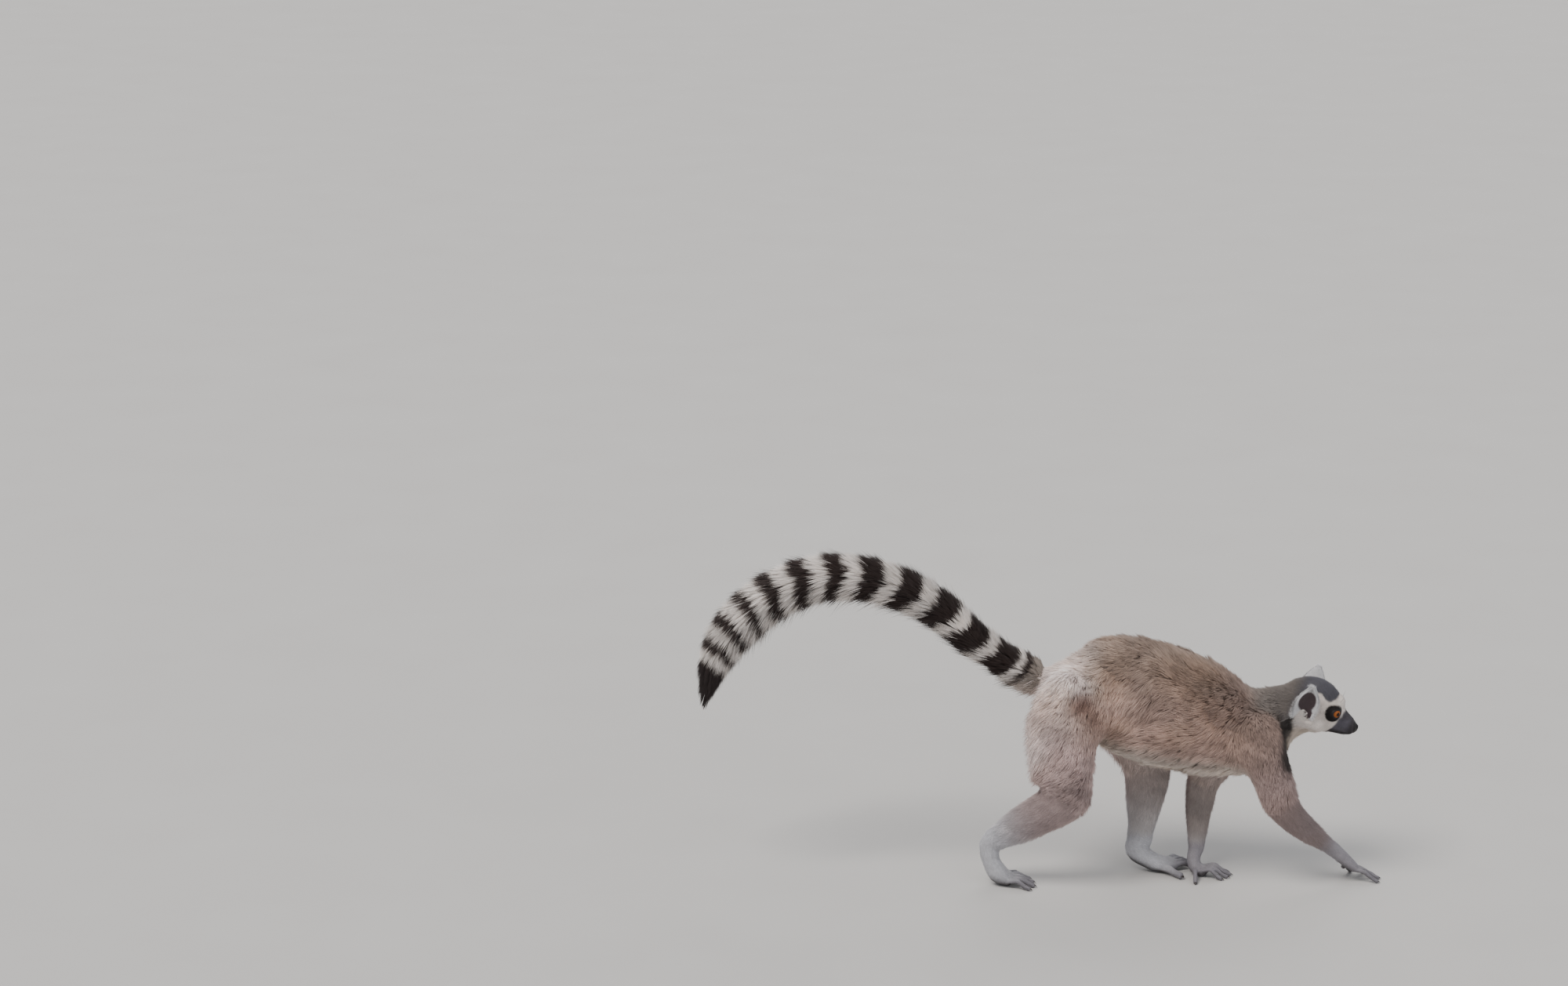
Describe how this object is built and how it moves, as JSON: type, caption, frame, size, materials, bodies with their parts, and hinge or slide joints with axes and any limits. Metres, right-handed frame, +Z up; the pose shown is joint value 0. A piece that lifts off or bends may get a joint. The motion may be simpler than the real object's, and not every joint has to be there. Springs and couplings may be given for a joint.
{
  "type": "ring-tailed lemur",
  "caption": "Life-size still ring-tailed lemur walking on all fours, banded tail held up in an arch, masked face turned toward its right side",
  "frame": {"origin": "on the floor under the middle of the animal's bounding box, tail included", "axes": "+X the way the body walks, +Y the animal's left side, +Z up"},
  "size_m": [0.8437, 0.1597, 0.4145],
  "materials": {
    "fur_grey": "brownish grey fur",
    "fur_white": "short off-white fur",
    "fur_banded": "long fur in black and white rings",
    "fur_black": "long black fur",
    "skin_black": "bare black skin, pads and claws",
    "eye_amber": "wet amber eye"
  },
  "bodies": {
    "root": {"belly": "fur_grey", "chest": "fur_grey", "ear_left": "fur_white", "ear_right": "fur_white", "eye_left": "eye_amber", "eye_right": "eye_amber", "foot_left": "fur_grey", "foot_right": "fur_grey", "forearm_left": "fur_grey", "forearm_right": "fur_grey", "hand_left": "fur_grey", "hand_right": "fur_grey", "head": "fur_white", "jaw": "fur_white", "muzzle": "fur_grey", "neck": "fur_grey", "nose": "skin_black", "rump": "fur_grey", "shank_left": "fur_grey", "shank_right": "fur_grey", "tail_1": "fur_banded", "tail_2": "fur_banded", "tail_3": "fur_banded", "tail_4": "fur_banded", "tail_5": "fur_banded", "tail_6": "fur_banded", "tail_7": "fur_black", "thigh_left": "fur_grey", "thigh_right": "fur_grey", "upper_arm_left": "fur_grey", "upper_arm_right": "fur_grey"}
  },
  "joints": []
}
